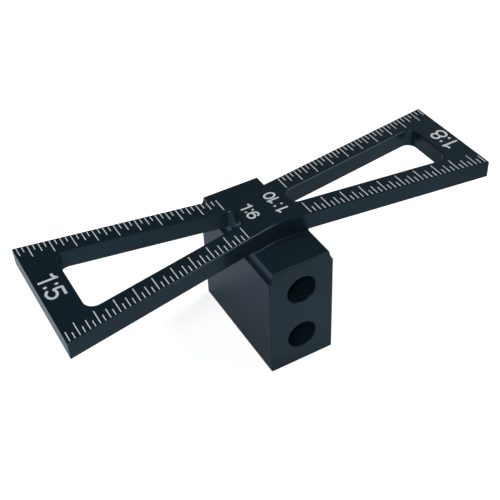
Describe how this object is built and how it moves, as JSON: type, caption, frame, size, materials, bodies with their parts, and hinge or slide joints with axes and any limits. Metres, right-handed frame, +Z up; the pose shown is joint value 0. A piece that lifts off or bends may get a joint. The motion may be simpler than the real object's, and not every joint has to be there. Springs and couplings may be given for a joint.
{
  "type": "dovetail marker",
  "caption": "Bow-tie marking gauge of black anodised aluminium: a plate with tapered windowed arms on a bored fence block.",
  "frame": {"origin": "middle of the fence block's underside", "axes": "+Z up out of the plate, +X along the plate towards the slimmer arm, +Y across the plate along the bores"},
  "size_m": [0.1446, 0.0448, 0.0476],
  "materials": {
    "black_anodised_aluminium": "fine satin black anodising with pale graduations"
  },
  "bodies": {
    "root": {"marker_body": "black_anodised_aluminium"}
  },
  "joints": []
}
